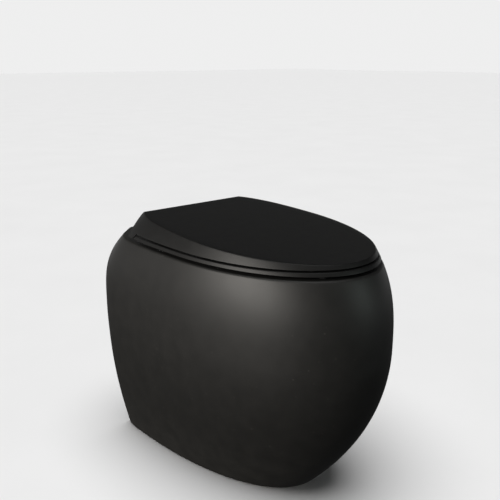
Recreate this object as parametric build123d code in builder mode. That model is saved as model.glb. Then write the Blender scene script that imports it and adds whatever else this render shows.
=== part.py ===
from build123d import *
import math
import os

# Row frame: X is sideways, +Y points to the wall, Z is up from the floor.
# "Depth" below is the distance forward from the wall face, so y = wall_y - depth.

# Pan: outer shape
pan_depth = 560.0
belly_half_width = 185.0
belly_height = 280.0
foot_depth = 417.0
foot_half_width = 129.0
rim_height = 422.5
rim_depth = 531.5
rim_half_width = 168.5
back_foot_half_width = 120.0
back_belly_half_width = 160.0
back_rim_half_width = 98.0
widest_depth_at_foot = 92.0
widest_depth_at_rim = 253.0
side_low_power = 1.85
side_high_power = 2.7
front_low_power = 1.96
front_high_power = 2.99
back_high_power = 3.75
nose_fullness_at_foot = 0.616
nose_fullness_at_rim = 0.572
flank_lean = 0.65
flank_start = 0.18
flank_end = 0.136

# Pan: ceramic
pan_wall = 13.0
deck_thickness = 14.0
bowl_wall = 10.0
bowl_half_width = 125.0
bowl_rear = 172.0
bowl_middle = 300.0
bowl_front = 482.0
sump_radius = 40.0
sump_depth_from_wall = 335.0
sump_height = 120.0
trap_radius = 40.0
trap_wall = 10.0
outlet_height = 183.0
outlet_radius = 51.0
outlet_length = 55.0
outlet_recess = 18.0
inlet_height = 340.0
inlet_radius = 27.5
inlet_wall = 10.0
inlet_recess = 14.0

# Seat and lid
seat_gap = 5.4
seat_edge = 6.2
lid_gap = 3.0
seat_step_in = 12.0
seat_underside_gap = 2.5
seat_hole_half_width = 106.0
seat_hole_rear = 208.0
seat_hole_middle = 300.0
seat_hole_front = 468.0
lid_wall = 4.0
lid_back_depth = 82.0
lid_top_above_rim = 53.5
lid_fall = 0.063
lid_corner_radius = 4.0
skirt_radius = 21.3
buffer_radius = 7.0
buffer_gap = 0.2

# Hinges
hinge_spacing = 155.0
hinge_depth = 93.0
hinge_above_rim = 25.5
pin_radius = 4.0
knuckle_radius = 11.0
knuckle_length = 20.0
bush_radius = 8.0
block_half_width = 14.7
block_radius = 12.0
block_half_depth = 10.5
side_play = 0.4
running_clearance = 0.05
fit_clearance = 0.1
post_radius = 6.0
post_groove_radius = 3.0
base_radius = 15.0
base_thickness = 3.0
cover_radius = 21.0
cover_wall = 1.2
stud_radius = 4.0
stud_hole_radius = 8.0
nut_hub_radius = 10.0
nut_height = 14.0
wing_reach = 20.0
button_travel = 3.0
button_half_width = 5.0
button_height = 6.6
button_above_rim = 10.1
latch_thickness = 2.4
latch_half_width = 8.6

# Floor brackets
bracket_depth_from_wall = 160.0
bracket_width = 40.0
bracket_plate = 4.0
bracket_face = 86.0
bracket_foot_length = 48.0
bracket_height = 68.0
lug_height = 76.0
clamp_height = 42.0
clamp_radius = 4.0
plug_radius = 6.5
plug_length = 26.0
floor_hole_radius = 5.5
floor_hole_from_face = 30.0

# Sizes that follow
wall_y = pan_depth / 2
hinge_height = rim_height + hinge_above_rim
button_level = rim_height + button_above_rim
lid_top_at_wall = rim_height + lid_top_above_rim
lid_mid_levels = [rim_height + rise for rise in (17.5, 29.5, 41.5)]
seat_edge_bottom = rim_height + seat_gap
seat_top = seat_edge_bottom + seat_edge
seat_underside = rim_height + seat_underside_gap
lid_bottom = seat_top + lid_gap
seat_arc_radius = skirt_radius + lid_gap - 0.3
lid_rear_top = lid_top_at_wall - lid_fall * lid_back_depth
deck_underside = rim_height - deck_thickness
hinge_y = wall_y - hinge_depth
hinge_plane = Plane(origin=(0, hinge_y, hinge_height), z_dir=(1, 0, 0), x_dir=(0, 1, 0))

os.makedirs("parts", exist_ok=True)


def finish(part, name):
    part.label = name
    export_step(part, f"parts/{name}.step")


def grown(z, foot, belly, rim, low_power, high_power):
    # The belly is the widest level; below and above it the size falls away as a power of the height.
    if z < belly_height:
        return belly - (belly - foot) * ((belly_height - z) / belly_height) ** low_power
    return belly - (belly - rim) * ((z - belly_height) / (rim_height - belly_height)) ** high_power


def split_curve(points, t):
    # The part of a Bezier curve from t to its end, by repeated halving of its control polygon.
    kept = []
    while points:
        kept.insert(0, points[-1])
        points = [
            (a[0] + (b[0] - a[0]) * t, a[1] + (b[1] - a[1]) * t) for a, b in zip(points, points[1:])
        ]
    return kept


def parameter_at(points, depth):
    # Where the curve's depth reaches the given value; the depth grows all the way along it.
    low, high = 0.0, 1.0
    for _ in range(40):
        t = (low + high) / 2
        low, high = (t, high) if split_curve(points, t)[0][1] < depth else (low, t)
    return low


def half_outline(z, inset, cut):
    # One side of the egg at a level: a flank from the back edge, and a nose to the front.
    width = grown(z, foot_half_width, belly_half_width, rim_half_width, side_low_power, side_high_power)
    front = grown(z, foot_depth, pan_depth, rim_depth, front_low_power, front_high_power)
    back = grown(
        z, back_foot_half_width, back_belly_half_width, back_rim_half_width, side_low_power, back_high_power
    )
    share = z / rim_height
    middle = widest_depth_at_foot + (widest_depth_at_rim - widest_depth_at_foot) * share
    fullness = nose_fullness_at_foot + (nose_fullness_at_rim - nose_fullness_at_foot) * share
    width, front, back = width - inset, front - inset, back - inset
    flank = [
        (back, 0.0),
        (back + flank_lean * (width - back), flank_start * middle),
        (width, flank_end * middle),
        (width, middle),
    ]
    nose = [
        (width, middle),
        (width, middle + fullness * (front - middle)),
        (fullness * width, front),
        (0.0, front),
    ]
    if cut > 0:
        flank = split_curve(flank, parameter_at(flank, cut))
    return [[(x, wall_y - depth) for x, depth in curve] for curve in (flank, nose)]


def egg_section(z, inset=0.0, cut=0.0, overrun=0.0):
    flank, nose = half_outline(z, inset, cut)
    x, y = flank[0]
    with BuildSketch(Plane.XY.offset(z)) as section:
        with BuildLine():
            if overrun > 0:
                Line((0, y + overrun), (x, y + overrun))
                Line((x, y + overrun), (x, y))
            else:
                Line((0, y), (x, y))
            Bezier(*flank)
            Bezier(*nose)
            mirror(about=Plane.YZ)
        make_face()
    return section.sketch


def egg_solid(levels, inset=0.0, cut=0.0, overrun=0.0):
    with BuildPart() as solid:
        loft([egg_section(z, inset, cut, overrun) for z in levels])
    return solid.part


def oval_section(z, half_width, rear, middle, front, grow=0.0):
    half_width, rear, front = half_width + grow, rear - grow, front + grow
    round_share = 0.56
    with BuildSketch(Plane.XY.offset(z)) as section:
        with BuildLine():
            Bezier(
                (0, wall_y - rear),
                (round_share * half_width, wall_y - rear),
                (half_width, wall_y - middle + round_share * (middle - rear)),
                (half_width, wall_y - middle),
            )
            Bezier(
                (half_width, wall_y - middle),
                (half_width, wall_y - middle - round_share * (front - middle)),
                (round_share * half_width, wall_y - front),
                (0, wall_y - front),
            )
            mirror(about=Plane.YZ)
        make_face()
    return section.sketch


def bowl_solid(top, grow=0.0):
    # The bowl narrows from the rim into the round sump; each level says how much of that it has done
    # at its sides, at its rear and at its front.
    bottom_radius = sump_radius * 0.7
    bottom = sump_height - sump_radius * 0.6
    bottom_rear = sump_depth_from_wall - bottom_radius
    bottom_front = sump_depth_from_wall + bottom_radius
    levels = [
        (top, 0.0, 0.0, 0.0),
        (rim_height * 0.93, 0.03, 0.03, 0.03),
        (rim_height * 0.78, 0.20, 0.24, 0.20),
        (rim_height * 0.60, 0.50, 0.60, 0.48),
        (rim_height * 0.44, 0.76, 0.86, 0.76),
        (bottom, 1.0, 1.0, 1.0),
    ]
    with BuildPart() as solid:
        loft(
            [
                oval_section(
                    z,
                    bowl_half_width + (bottom_radius - bowl_half_width) * side_share,
                    bowl_rear + (bottom_rear - bowl_rear) * rear_share,
                    bowl_middle + (sump_depth_from_wall - bowl_middle) * rear_share,
                    bowl_front + (bottom_front - bowl_front) * front_share,
                    grow,
                )
                for z, side_share, rear_share, front_share in levels
            ]
        )
    return solid.part


def trap_solid(radius, start_radius):
    crest = (wall_y - 190.0, outlet_height + 100.0)
    with BuildPart() as solid:
        with BuildLine(Plane.YZ) as route:
            FilletPolyline(
                (wall_y - sump_depth_from_wall, sump_height),
                (wall_y - 262.0, sump_height - 50.0),
                crest,
                (wall_y - 105.0, outlet_height),
                (wall_y - outlet_recess - outlet_length / 2, outlet_height),
                radius=[58.0, 54.0, 66.0],
            )
        with BuildSketch(Plane(origin=route.line @ 0, z_dir=route.line % 0)):
            Circle(radius)
        sweep()
        with Locations((0, wall_y - sump_depth_from_wall, sump_height)):
            Sphere(start_radius)
    return solid.part


def along_y(radius, near, far, x, z):
    # A round bar or bore between two depths from the wall.
    with BuildPart() as bar:
        with BuildSketch(Plane(origin=(x, wall_y - near, z), z_dir=(0, -1, 0))):
            Circle(radius)
        extrude(amount=far - near)
    return bar.part


def along_x(radius, start, end, y, z):
    with BuildPart() as bar:
        with BuildSketch(Plane(origin=(start, y, z), z_dir=(1, 0, 0))):
            Circle(radius)
        extrude(amount=end - start)
    return bar.part


def upright(radius, low, high, x, y):
    with BuildPart() as bar:
        with BuildSketch(Plane(origin=(x, y, low))):
            Circle(radius)
        extrude(amount=high - low)
    return bar.part


def block_between(low, high):
    with BuildPart() as block:
        with Locations([tuple((a + b) / 2 for a, b in zip(low, high))]):
            Box(*[b - a for a, b in zip(low, high)])
    return block.part


sides = ((-1, "left"), (1, "right"))
hinge_x = hinge_spacing / 2
bracket_y = wall_y - bracket_depth_from_wall

# The glazed pan: egg skin open at the back and at the floor, bowl, trap, inlet and fixing lugs.
pan_levels = [0, 45, 95, 150, 210, 270, 320, 360, rim_height - 27.5, rim_height]
hollow_levels = [-1, 45, 95, 150, 210, 270, 320, 360, deck_underside - 18.5, deck_underside]
with BuildPart() as hollow:
    add(egg_solid(hollow_levels, inset=pan_wall, overrun=2.0))
    add(bowl_solid(deck_underside + 1, bowl_wall), mode=Mode.SUBTRACT)
    add(trap_solid(trap_radius + trap_wall, sump_radius + bowl_wall), mode=Mode.SUBTRACT)
    add(
        along_y(outlet_radius, outlet_recess, outlet_recess + outlet_length, 0, outlet_height),
        mode=Mode.SUBTRACT,
    )
    add(
        along_y(inlet_radius + inlet_wall, inlet_recess, bowl_rear + 30, 0, inlet_height),
        mode=Mode.SUBTRACT,
    )
    for side, _ in sides:
        ends = sorted((side * bracket_face, side * belly_half_width))
        low = (ends[0], bracket_y - bracket_width / 2 - 6, 14)
        high = (ends[1], bracket_y + bracket_width / 2 + 6, lug_height)
        add(block_between(low, high), mode=Mode.SUBTRACT)

with BuildPart() as pan:
    add(egg_solid(pan_levels))
    add(hollow.part, mode=Mode.SUBTRACT)
    add(bowl_solid(rim_height + 1), mode=Mode.SUBTRACT)
    add(trap_solid(trap_radius, sump_radius), mode=Mode.SUBTRACT)
    add(
        along_y(trap_radius, -1, outlet_recess + outlet_length, 0, outlet_height),
        mode=Mode.SUBTRACT,
    )
    add(along_y(inlet_radius, -1, bowl_rear + 40, 0, inlet_height), mode=Mode.SUBTRACT)
    for side, _ in sides:
        add(
            upright(stud_hole_radius, deck_underside - 1, rim_height + 1, side * hinge_x, hinge_y),
            mode=Mode.SUBTRACT,
        )
        ends = sorted((side * (bracket_face - 1), side * (bracket_face + plug_length)))
        add(along_x(plug_radius, *ends, bracket_y, clamp_height), mode=Mode.SUBTRACT)
finish(pan.part, "pan")
print("pan", pan.part.is_valid, len(pan.part.solids()), round(pan.part.volume))

# The seat: a thin edge in line with the pan, a deeper body inside it, and two hinge knuckles behind.
seat_lug_ends = (hinge_x - block_half_width - side_play - knuckle_length, hinge_x - block_half_width - side_play)
lid_lug_ends = (hinge_x + block_half_width + side_play, hinge_x + block_half_width + side_play + knuckle_length)


def knuckle_plate(ends, outline):
    # A plate across the hinge: the outline runs in depth and height, with a round knuckle at the axis.
    with BuildPart() as plate:
        with BuildSketch(Plane(origin=(ends[0], 0, 0), z_dir=(1, 0, 0), x_dir=(0, 1, 0))):
            with BuildLine():
                Polyline([(wall_y - depth, z) for depth, z in outline], close=True)
            make_face()
            with Locations((hinge_y, hinge_height)):
                Circle(knuckle_radius)
        extrude(amount=ends[1] - ends[0])
    return plate.part


seat_lug_outline = [
    (hinge_depth + 5.0, hinge_height + 9.0),
    (hinge_depth + 44.0, seat_top),
    (hinge_depth + 44.0, seat_underside + 2),
    (hinge_depth + 22.0, seat_underside + 2),
    (hinge_depth, hinge_height - knuckle_radius),
]
with BuildPart() as seat_ring:
    add(egg_solid([seat_edge_bottom, seat_top], cut=lid_back_depth))
    body_rear = hinge_depth + cover_radius + 2
    add(egg_solid([seat_underside, seat_edge_bottom + 2], inset=seat_step_in, cut=body_rear))
    with BuildSketch(Plane.XY.offset(seat_underside - 1)):
        add(
            oval_section(
                0, seat_hole_half_width, seat_hole_rear, seat_hole_middle, seat_hole_front
            )
        )
    extrude(amount=seat_top - seat_underside + 2, mode=Mode.SUBTRACT)
    add(
        along_x(seat_arc_radius, -belly_half_width, belly_half_width, hinge_y, hinge_height),
        mode=Mode.SUBTRACT,
    )
    add(
        block_between(
            (-belly_half_width, hinge_y, seat_underside - 1), (belly_half_width, wall_y, seat_top + 1)
        ),
        mode=Mode.SUBTRACT,
    )
    for side, _ in sides:
        ends = sorted(side * x for x in seat_lug_ends)
        add(knuckle_plate(ends, seat_lug_outline))
        add(
            along_x(bush_radius, ends[0] - 1, ends[1] + 1, hinge_y, hinge_height),
            mode=Mode.SUBTRACT,
        )
finish(seat_ring.part, "seat_ring")
print("seat", seat_ring.part.is_valid, len(seat_ring.part.solids()), round(seat_ring.part.volume))

# The lid: a wedge-shaped shell whose rear skirts come down behind the ends of the seat.
lid_buffer_places = [(140.0, 300.0), (70.0, 480.0)]
lid_levels = [seat_edge_bottom, *lid_mid_levels, lid_top_at_wall]


def lid_profile(drop, back, bottom, corner=0.0):
    # Depth and height of the wedge, seen from the side, with its top lowered by the wall thickness.
    with BuildSketch(Plane(origin=(-belly_half_width, 0, 0), z_dir=(1, 0, 0), x_dir=(0, 1, 0))) as wedge:
        with BuildLine():
            Polyline(
                (wall_y - back, bottom),
                (wall_y - back, lid_top_at_wall - drop - lid_fall * back),
                (wall_y - pan_depth, lid_top_at_wall - drop - lid_fall * pan_depth),
                (wall_y - pan_depth, bottom),
                close=True,
            )
        make_face()
        if corner > 0:
            fillet(wedge.vertices().group_by(Axis.Y)[0].sort_by(Axis.X)[-1], corner)
    return wedge.sketch


with BuildPart() as lid_hollow:
    extrude(lid_profile(lid_wall, lid_back_depth - 6, seat_underside), amount=2 * belly_half_width)
    add(
        egg_solid([seat_underside, *lid_mid_levels, lid_top_at_wall], lid_wall, lid_back_depth - 8),
        mode=Mode.INTERSECT,
    )

with BuildPart() as under_lid:
    # What lies below the lid: everything under the gap line, less the skirts behind the seat's ends.
    with BuildSketch(Plane(origin=(-belly_half_width, 0, 0), z_dir=(1, 0, 0), x_dir=(0, 1, 0))):
        with BuildLine():
            Polyline(
                (wall_y - pan_depth, seat_underside),
                (hinge_y, seat_underside),
                (hinge_y, lid_bottom),
                (wall_y - pan_depth, lid_bottom),
                close=True,
            )
        make_face()
        with Locations((hinge_y, hinge_height)):
            Circle(skirt_radius, mode=Mode.SUBTRACT)
    extrude(amount=2 * belly_half_width)

with BuildPart() as lid:
    outline = lid_profile(0, lid_back_depth, seat_edge_bottom, lid_corner_radius)
    extrude(outline, amount=2 * belly_half_width)
    add(egg_solid(lid_levels, cut=lid_back_depth - 4), mode=Mode.INTERSECT)
    add(lid_hollow.part, mode=Mode.SUBTRACT)
    add(under_lid.part, mode=Mode.SUBTRACT)
    for side, _ in sides:
        ends = sorted(side * x for x in lid_lug_ends)
        ceiling = lid_rear_top - lid_wall
        lug_outline = [
            (hinge_depth - knuckle_radius, hinge_height),
            (hinge_depth - knuckle_radius, ceiling + 1),
            (hinge_depth + knuckle_radius + 6, ceiling + 1),
            (hinge_depth + knuckle_radius, hinge_height),
        ]
        add(knuckle_plate(ends, lug_outline))
        add(
            along_x(bush_radius, ends[0] - 1, ends[1] + 1, hinge_y, hinge_height),
            mode=Mode.SUBTRACT,
        )
        for x, depth in lid_buffer_places:
            boss_top = lid_top_at_wall - lid_fall * depth - lid_wall / 2
            add(upright(buffer_radius + 2, lid_bottom + 0.9, boss_top, side * x, wall_y - depth))
finish(lid.part, "lid")
print("lid", lid.part.is_valid, len(lid.part.solids()), round(lid.part.volume))

# Rubber buffers under the lid and under the seat.
with BuildPart() as lid_buffers:
    for side, _ in sides:
        for x, depth in lid_buffer_places:
            add(
                upright(
                    buffer_radius, seat_top + buffer_gap, lid_bottom + 0.9, side * x, wall_y - depth
                )
            )
finish(lid_buffers.part, "lid_buffers")

with BuildPart() as seat_buffers:
    for side, _ in sides:
        for x, depth in ((139.0, 215.0), (58.0, 492.0)):
            add(
                upright(
                    buffer_radius, rim_height + buffer_gap, seat_underside, side * x, wall_y - depth
                )
            )
finish(seat_buffers.part, "seat_buffers")

# Hinges: post, cover and block on the deck, one pin through seat knuckle, block and lid knuckle.
cover_top = rim_height + base_thickness + cover_wall + 0.3
block_bottom = cover_top + 0.4
latch_bottom = button_level - latch_thickness / 2
for side, name in sides:
    x = side * hinge_x
    with BuildPart() as post:
        add(upright(stud_radius, deck_underside - 28, rim_height, x, hinge_y))
        add(upright(base_radius, rim_height, rim_height + base_thickness, x, hinge_y))
        add(upright(post_radius, rim_height, latch_bottom - 0.3, x, hinge_y))
        add(upright(post_groove_radius, rim_height, latch_bottom + latch_thickness + 0.3, x, hinge_y))
        add(
            upright(
                post_radius,
                latch_bottom + latch_thickness + 0.3,
                hinge_height - pin_radius - 1.5,
                x,
                hinge_y,
            )
        )
    finish(post.part, f"hinge_post_{name}")

    with BuildPart() as cover:
        add(upright(cover_radius, rim_height, cover_top, x, hinge_y))
        fillet(cover.edges().group_by(Axis.Z)[-1], 1.5)
        add(
            upright(
                base_radius + 0.3, rim_height - 1, rim_height + base_thickness + 0.3, x, hinge_y
            ),
            mode=Mode.SUBTRACT,
        )
        add(upright(post_radius + 0.3, rim_height, cover_top + 1, x, hinge_y), mode=Mode.SUBTRACT)
    finish(cover.part, f"hinge_cover_{name}")

    with BuildPart() as block:
        add(
            along_x(block_radius, x - block_half_width, x + block_half_width, hinge_y, hinge_height)
        )
        add(
            block_between(
                (x - block_half_width, hinge_y - block_half_depth, block_bottom),
                (x + block_half_width, hinge_y + block_half_depth, hinge_height),
            )
        )
        add(
            upright(
                post_radius + running_clearance,
                block_bottom - 1,
                hinge_height - pin_radius - 1.2,
                x,
                hinge_y,
            ),
            mode=Mode.SUBTRACT,
        )
        add(
            along_x(
                pin_radius + running_clearance,
                x - block_half_width - 1,
                x + block_half_width + 1,
                hinge_y,
                hinge_height,
            ),
            mode=Mode.SUBTRACT,
        )
        add(
            block_between(
                (x - latch_half_width - 0.3, hinge_y - block_half_depth, latch_bottom - 0.3),
                (
                    x + latch_half_width + 0.3,
                    hinge_y + block_half_depth - 1.5,
                    latch_bottom + latch_thickness + 0.3,
                ),
            ),
            mode=Mode.SUBTRACT,
        )
        add(
            block_between(
                (
                    x - button_half_width - fit_clearance,
                    hinge_y - block_half_depth,
                    button_level - button_height / 2 - fit_clearance,
                ),
                (
                    x + button_half_width + fit_clearance,
                    hinge_y - block_half_depth + button_travel,
                    button_level + button_height / 2 + fit_clearance,
                ),
            ),
            mode=Mode.SUBTRACT,
        )
    finish(block.part, f"hinge_block_{name}")
    print("block", block.part.is_valid, len(block.part.solids()))

    # The latch plate has a hole that clears the post only when the button is pressed in.
    latch_rear = hinge_y + block_half_depth - 1.5 - 0.3 - button_travel
    with BuildPart() as button:
        add(
            block_between(
                (
                    x - button_half_width,
                    hinge_y - block_half_depth - button_travel - 0.2,
                    button_level - button_height / 2,
                ),
                (
                    x + button_half_width,
                    hinge_y - block_half_depth - 0.2,
                    button_level + button_height / 2,
                ),
            )
        )
        add(
            block_between(
                (x - button_half_width, hinge_y - block_half_depth - 1, latch_bottom),
                (x + button_half_width, hinge_y - post_radius - 1, latch_bottom + latch_thickness),
            )
        )
        add(
            block_between(
                (x - latch_half_width, hinge_y - post_radius - 3, latch_bottom),
                (x + latch_half_width, latch_rear, latch_bottom + latch_thickness),
            )
        )
        add(
            upright(
                post_radius + 0.3,
                latch_bottom - 1,
                latch_bottom + latch_thickness + 1,
                x,
                hinge_y - button_travel,
            ),
            mode=Mode.SUBTRACT,
        )
    finish(button.part, f"release_button_{name}")
    print("button", button.part.is_valid, len(button.part.solids()))

    # A bent leaf behind the latch plate pushes the button out again.
    leaf = 0.3
    with BuildPart() as spring:
        with BuildSketch(Plane.XY.offset(latch_bottom)):
            with BuildLine() as bend:
                Polyline(
                    (x - 7.0, latch_rear + 0.35),
                    (x - 3.0, latch_rear + button_travel - 0.25),
                    (x, latch_rear + 0.35),
                    (x + 3.0, latch_rear + button_travel - 0.25),
                    (x + 7.0, latch_rear + 0.35),
                )
            trace(line_width=leaf)
        extrude(amount=latch_thickness)
    finish(spring.part, f"release_spring_{name}")
    print("spring", spring.part.is_valid, len(spring.part.solids()))

    pin_ends = sorted((side * seat_lug_ends[0], side * lid_lug_ends[1]))
    with BuildPart() as pin:
        add(along_x(pin_radius, pin_ends[0], pin_ends[1], hinge_y, hinge_height))
    finish(pin.part, f"hinge_pin_{name}")

    with BuildPart() as sleeve:
        add(upright(stud_hole_radius - fit_clearance, deck_underside, rim_height - 0.2, x, hinge_y))
        add(
            upright(stud_radius + fit_clearance, deck_underside - 1, rim_height + 1, x, hinge_y),
            mode=Mode.SUBTRACT,
        )
    finish(sleeve.part, f"stud_sleeve_{name}")

    washer_bottom = deck_underside - 3.0
    with BuildPart() as washer:
        add(upright(nut_hub_radius + 5, washer_bottom, deck_underside, x, hinge_y))
        add(
            upright(stud_radius + fit_clearance, washer_bottom - 1, deck_underside + 1, x, hinge_y),
            mode=Mode.SUBTRACT,
        )
    finish(washer.part, f"stud_washer_{name}")

    nut_top = washer_bottom - 0.1
    with BuildPart() as nut:
        add(upright(nut_hub_radius, nut_top - nut_height, nut_top, x, hinge_y))
        add(
            block_between(
                (x - wing_reach, hinge_y - 2, nut_top - nut_height),
                (x + wing_reach, hinge_y + 2, nut_top - 4),
            )
        )
        fillet(nut.edges().filter_by(Axis.Y).group_by(Axis.Z)[0], 3.0)
        add(
            upright(
                stud_radius + running_clearance, nut_top - nut_height - 1, nut_top + 1, x, hinge_y
            ),
            mode=Mode.SUBTRACT,
        )
    finish(nut.part, f"wing_nut_{name}")

# Each pair of knuckles has one soft-close damper and one plain bush; the two sides are crossed over.


def knuckle_ring(ends, flanged):
    with BuildPart() as ring:
        add(along_x(bush_radius - running_clearance, ends[0], ends[1], hinge_y, hinge_height))
        if flanged:
            # The damper's end cap stands out on the side away from the block.
            outer = ends[0] - 1.5 if abs(ends[0]) > abs(ends[1]) else ends[1]
            add(along_x(bush_radius + 1.5, outer, outer + 1.5, hinge_y, hinge_height))
        add(
            along_x(
                pin_radius + running_clearance, ends[0] - 3, ends[1] + 3, hinge_y, hinge_height
            ),
            mode=Mode.SUBTRACT,
        )
    return ring.part


finish(knuckle_ring([-x for x in reversed(seat_lug_ends)], False), "seat_damper")
finish(knuckle_ring(seat_lug_ends, False), "seat_bush")
finish(knuckle_ring(lid_lug_ends, True), "lid_damper")
finish(knuckle_ring([-x for x in reversed(lid_lug_ends)], False), "lid_bush")

# Flush inlet: rubber seal at the mouth, water distributor at the bowl end.
seal_flange = 4.0
seal_length = 33.0
flush_pipe_radius = 22.5
with BuildPart() as inlet_seal:
    add(
        along_y(
            inlet_radius - 0.1, inlet_recess, inlet_recess + seal_length, 0, inlet_height
        )
    )
    add(
        along_y(inlet_radius + 6, inlet_recess - seal_flange, inlet_recess, 0, inlet_height)
    )
    add(
        along_y(flush_pipe_radius, 0, inlet_recess + seal_length + 1, 0, inlet_height),
        mode=Mode.SUBTRACT,
    )
finish(inlet_seal.part, "inlet_seal")

distributor_start = bowl_rear - 27
distributor_end = bowl_rear + 34
with BuildPart() as distributor:
    add(
        along_y(inlet_radius - 0.2, distributor_start, distributor_end, 0, inlet_height)
    )
    add(
        along_y(flush_pipe_radius, distributor_start - 1, distributor_end - 3, 0, inlet_height),
        mode=Mode.SUBTRACT,
    )
    for z_low in (inlet_height - 12, inlet_height + 4):
        add(
            block_between(
                (-inlet_radius - 5, wall_y - distributor_end + 3, z_low),
                (inlet_radius + 5, wall_y - distributor_end + 11, z_low + 8),
            ),
            mode=Mode.SUBTRACT,
        )
finish(distributor.part, "flush_distributor")
print("distributor", distributor.part.is_valid, len(distributor.part.solids()))

# Floor brackets: an angle plate each side, clamped to the pan's inner lug.
washer_thickness = 1.6
head_thickness = 5.3
for side, name in sides:
    ends = sorted((side * bracket_face, side * (bracket_face - bracket_plate)))
    foot_ends = sorted((side * bracket_face, side * (bracket_face - bracket_foot_length)))
    with BuildPart() as bracket:
        add(
            block_between(
                (foot_ends[0], bracket_y - bracket_width / 2, 0),
                (foot_ends[1], bracket_y + bracket_width / 2, bracket_plate),
            )
        )
        add(
            block_between(
                (ends[0], bracket_y - bracket_width / 2, 0),
                (ends[1], bracket_y + bracket_width / 2, bracket_height),
            )
        )
        add(
            upright(
                floor_hole_radius,
                -1,
                bracket_plate + 1,
                side * (bracket_face - floor_hole_from_face),
                bracket_y,
            ),
            mode=Mode.SUBTRACT,
        )
        add(
            along_x(clamp_radius + 0.5, ends[0] - 1, ends[1] + 1, bracket_y, clamp_height),
            mode=Mode.SUBTRACT,
        )
    finish(bracket.part, f"floor_bracket_{name}")

with BuildPart() as plugs:
    for side, _ in sides:
        ends = sorted((side * bracket_face, side * (bracket_face + plug_length - 0.5)))
        add(along_x(plug_radius - 0.1, *ends, bracket_y, clamp_height))
        ends = (ends[0] - 1, ends[1] + 1)
        add(
            along_x(clamp_radius + fit_clearance, *ends, bracket_y, clamp_height),
            mode=Mode.SUBTRACT,
        )
finish(plugs.part, "clamp_plugs")

inner_face = bracket_face - bracket_plate
with BuildPart() as clamp_washers:
    for side, _ in sides:
        ends = sorted((side * inner_face, side * (inner_face - washer_thickness)))
        add(along_x(clamp_radius + 6, *ends, bracket_y, clamp_height))
        add(
            along_x(clamp_radius + 0.2, ends[0] - 1, ends[1] + 1, bracket_y, clamp_height),
            mode=Mode.SUBTRACT,
        )
finish(clamp_washers.part, "clamp_washers")

with BuildPart() as clamp_bolts:
    for side, _ in sides:
        head_start = side * (inner_face - washer_thickness)
        shank = sorted((head_start, side * (bracket_face + plug_length - 2)))
        add(along_x(clamp_radius, *shank, bracket_y, clamp_height))
        with BuildSketch(Plane(origin=(head_start, bracket_y, clamp_height), z_dir=(-side, 0, 0))):
            RegularPolygon(radius=7.5, side_count=6)
        extrude(amount=head_thickness)
finish(clamp_bolts.part, "clamp_bolts")
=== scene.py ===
import math

import bmesh
import bpy
import numpy as np
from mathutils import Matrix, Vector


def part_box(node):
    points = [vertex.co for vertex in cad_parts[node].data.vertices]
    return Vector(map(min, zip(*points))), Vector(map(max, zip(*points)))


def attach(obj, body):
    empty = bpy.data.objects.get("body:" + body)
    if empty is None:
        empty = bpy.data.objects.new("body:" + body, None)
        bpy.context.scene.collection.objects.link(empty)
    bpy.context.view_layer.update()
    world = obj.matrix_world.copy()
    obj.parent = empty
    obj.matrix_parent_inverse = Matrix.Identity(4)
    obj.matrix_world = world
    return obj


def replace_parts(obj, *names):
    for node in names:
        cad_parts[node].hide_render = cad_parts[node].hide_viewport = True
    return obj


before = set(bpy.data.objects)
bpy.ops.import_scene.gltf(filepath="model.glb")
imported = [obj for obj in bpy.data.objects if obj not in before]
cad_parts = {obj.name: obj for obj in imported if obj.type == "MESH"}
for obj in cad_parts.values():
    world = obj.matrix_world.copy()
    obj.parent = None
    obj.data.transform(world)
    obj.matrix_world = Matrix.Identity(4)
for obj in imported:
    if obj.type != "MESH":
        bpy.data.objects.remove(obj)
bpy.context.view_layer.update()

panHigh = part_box("pan")[1]
wallY, rimTop = panHigh.y, panHigh.z
print("frame loaded")

# The egg: sideways sizes are half widths, "front" and "middle" are depths forward from the wall face.
egg = {
    "widthFoot": 0.129, "widthBelly": 0.185, "widthRim": 0.1685,
    "frontFoot": 0.417, "frontBelly": 0.560, "frontRim": 0.5315,
    "backFoot": 0.120, "backBelly": 0.160, "backRim": 0.098,
    "middleFoot": 0.092, "middleRim": 0.253,
    "fullFoot": 0.616, "fullRim": 0.572,
    "bellyHeight": 0.280,
    "sideLow": 1.85, "sideHigh": 2.7, "frontLow": 1.96, "frontHigh": 2.99, "backHigh": 3.75,
    "flankLean": 0.65, "flankStart": 0.18, "flankEnd": 0.136,
}


def cubic(a, b, c, d, t):
    # The Bezier cubic: each control value weighted by its Bernstein polynomial of t.
    r = 1 - t
    return r * r * r * a + 3 * r * r * t * b + 3 * r * t * t * c + t * t * t * d


def hermite(a, leave, b, arrive, t):
    # The Hermite cubic from a to b: it starts off by leave and comes in by arrive.
    return ((1 + 2 * t) * (1 - t) ** 2 * a + t * (1 - t) ** 2 * leave
            + t * t * (3 - 2 * t) * b + t * t * (t - 1) * arrive)


def growth(z, size, lowPower, highPower):
    # Widest at the belly; it falls away below and above it as a power of the height's share.
    foot, belly, rim = (egg[size + level] for level in ("Foot", "Belly", "Rim"))
    bellyZ = egg["bellyHeight"]
    below = np.clip((bellyZ - z) / bellyZ, 0, None) ** egg[lowPower]
    above = np.clip((z - bellyZ) / (rimTop - bellyZ), 0, None) ** egg[highPower]
    return belly - (belly - foot) * below - (belly - rim) * above


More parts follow.
